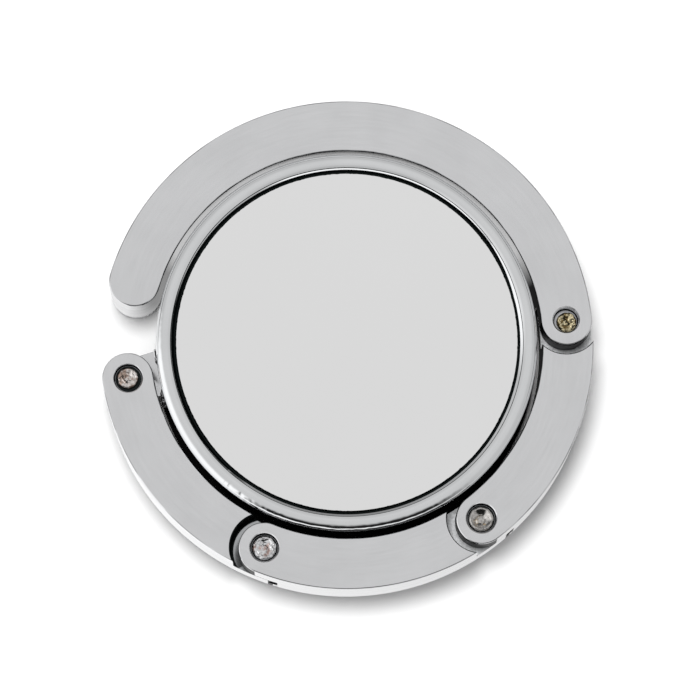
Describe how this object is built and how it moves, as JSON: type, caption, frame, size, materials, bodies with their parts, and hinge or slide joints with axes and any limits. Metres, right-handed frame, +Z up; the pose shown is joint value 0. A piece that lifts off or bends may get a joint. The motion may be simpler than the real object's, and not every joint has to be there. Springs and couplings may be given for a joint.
{
  "type": "folding purse hook",
  "caption": "Round folding purse hook: a mirror disc with a ring of riveted flat links that swivels and unfolds into a hook.",
  "frame": {"origin": "centre of the rubber pad's underside, where the disc stands on a table", "axes": "+Z up along the disc's axis, out of the mirror; +X and +Y as the picture's right and top; the knuckle lies 189 degrees round from +X"},
  "size_m": [0.0445, 0.0448, 0.0087],
  "materials": {
    "plated_zinc": "polished nickel plating on die-cast zinc",
    "link_plating": "polished nickel plating with faint brushing on the flat faces",
    "bezel_chrome": "bright polished plating",
    "mirror": "flat silvered glass",
    "tape": "double-sided tape",
    "plate_steel": "plain sheet steel",
    "pad_rubber": "matt rubber",
    "washer_steel": "plain steel",
    "rivet_steel": "peened rivet end, worn",
    "rivet_brass": "peened rivet end with worn plating"
  },
  "bodies": {
    "disc": {"disc_body": "plated_zinc", "bezel_ring": "bezel_chrome", "mirror_glass": "mirror", "mirror_adhesive": "tape", "base_plate": "plate_steel", "pad_adhesive": "tape", "base_pad": "pad_rubber"},
    "knuckle": {"swivel_knuckle": "plated_zinc", "swivel_washer": "washer_steel", "swivel_clip": "washer_steel", "pivot_pin_1": "rivet_steel", "pivot_washer_1": "washer_steel"},
    "near_link": {"near_link": "link_plating", "pivot_pin_2": "rivet_steel", "pivot_washer_2": "washer_steel"},
    "middle_link": {"middle_link": "link_plating", "pivot_pin_3": "rivet_steel", "pivot_washer_3": "washer_steel"},
    "far_link": {"far_link": "link_plating", "pivot_pin_4": "rivet_brass", "pivot_washer_4": "washer_steel"},
    "hook_arm": {"hook_arm": "link_plating"}
  },
  "joints": [
    {"name": "knuckle_swivel", "type": "hinge", "parent": "disc", "child": "knuckle", "pos_m": [-0.01719, -0.00272, 0.0041], "axis": [-0.9877, -0.1564, 0], "range_deg": [-90, 90]},
    {"name": "near_fold", "type": "hinge", "parent": "knuckle", "child": "near_link", "pos_m": [-0.01978, -0.00313, 0.0041], "axis": [0, 0, -1], "range_deg": [0, 170]},
    {"name": "middle_fold", "type": "hinge", "parent": "near_link", "child": "middle_link", "pos_m": [-0.0075, -0.01857, 0.0041], "axis": [0, 0, -1], "range_deg": [0, 80]},
    {"name": "far_fold", "type": "hinge", "parent": "middle_link", "child": "far_link", "pos_m": [0.01205, -0.01599, 0.0041], "axis": [0, 0, -1], "range_deg": [0, 80]},
    {"name": "hook_fold", "type": "hinge", "parent": "far_link", "child": "hook_arm", "pos_m": [0.01992, 0.00209, 0.0041], "axis": [0, 0, -1], "range_deg": [0, 80]}
  ],
  "couplings": [
    {"joint": "far_fold", "follows": "hook_fold", "ratio": 0.4},
    {"joint": "middle_fold", "follows": "hook_fold", "ratio": 0.2},
    {"joint": "near_fold", "follows": "hook_fold", "ratio": 0.5}
  ]
}
